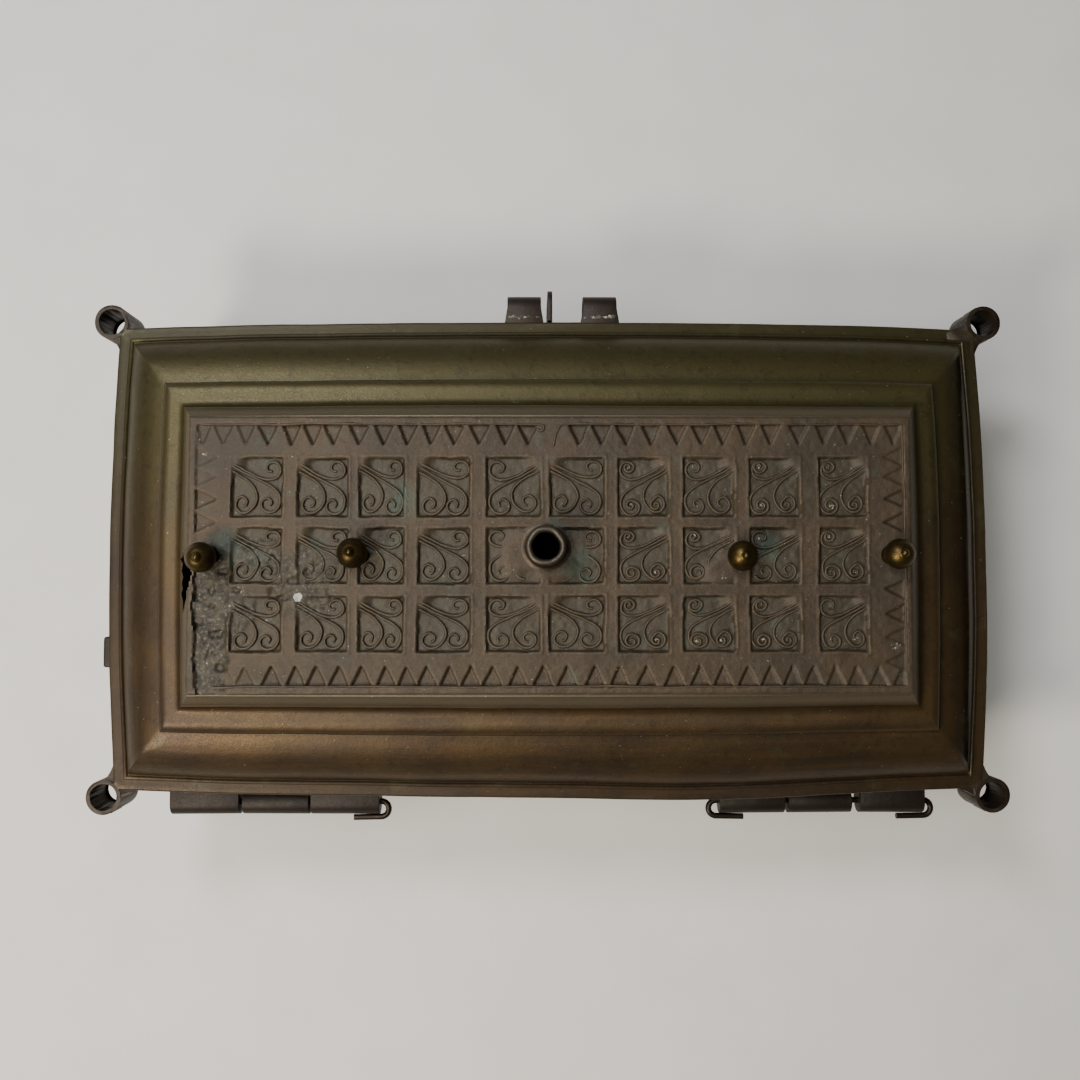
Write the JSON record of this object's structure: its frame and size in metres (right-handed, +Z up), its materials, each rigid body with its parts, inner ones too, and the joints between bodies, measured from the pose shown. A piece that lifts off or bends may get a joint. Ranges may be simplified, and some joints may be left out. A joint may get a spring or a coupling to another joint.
{
  "type": "inkwell",
  "caption": "Rectangular cast box inkwell with a hinged, moulded lid, a sawtooth and scroll relief panel, an ink mouth tube, ball knobs and corner pen tubes.",
  "frame": {"origin": "centre of the underside of the base plate", "axes": "+X along the box, to the right seen from the hinge side; +Y towards the clasp side; +Z up"},
  "size_m": [0.295, 0.1749, 0.0999],
  "materials": {
    "lid_bronze": "dark brown patinated casting",
    "panel_bronze": "dark patina, worn lighter on the raised work",
    "mouth_brass": "dull, tarnished",
    "knob_brass": "rubbed satin",
    "casing_bronze": "dark brown patinated casting",
    "hinge_bronze": "dark, rubbed on the edges",
    "hinge_wire": "dark drawn wire",
    "cup_brass": "tarnished turned brass"
  },
  "bodies": {
    "box": {"casing": "casing_bronze", "base_plate": "casing_bronze", "locating_strip": "casing_bronze", "left_hinge_casing_leaf": "hinge_bronze", "right_hinge_casing_leaf": "hinge_bronze", "clasp_staple": "hinge_bronze", "left_divider": "casing_bronze", "right_divider": "casing_bronze", "cup_collar": "casing_bronze"},
    "lid": {"lid_shell": "lid_bronze", "relief_panel": "panel_bronze", "ink_mouth": "mouth_brass", "mouth_collar": "mouth_brass", "ball_knobs": "knob_brass", "knob_washers": "mouth_brass", "pen_tube_front_left": "lid_bronze", "pen_tube_front_right": "lid_bronze", "pen_tube_back_left": "lid_bronze", "pen_tube_back_right": "lid_bronze", "left_hinge_lid_leaf": "hinge_bronze", "right_hinge_lid_leaf": "hinge_bronze", "left_hinge_pin": "hinge_wire", "right_hinge_pin": "hinge_wire", "left_clasp_loop": "hinge_bronze", "right_clasp_loop": "hinge_bronze", "side_lug": "hinge_bronze"},
    "cup": {"ink_cup": "cup_brass"}
  },
  "joints": [
    {"name": "lid_hinge", "type": "hinge", "parent": "box", "child": "lid", "pos_m": [0, -0.0808, 0.0486], "axis": [1, 0, 0], "range_deg": [0, 120]},
    {"name": "cup_lift", "type": "slide", "parent": "box", "child": "cup", "axis": [0, 0, 1], "range_m": [0, 0.02]}
  ]
}
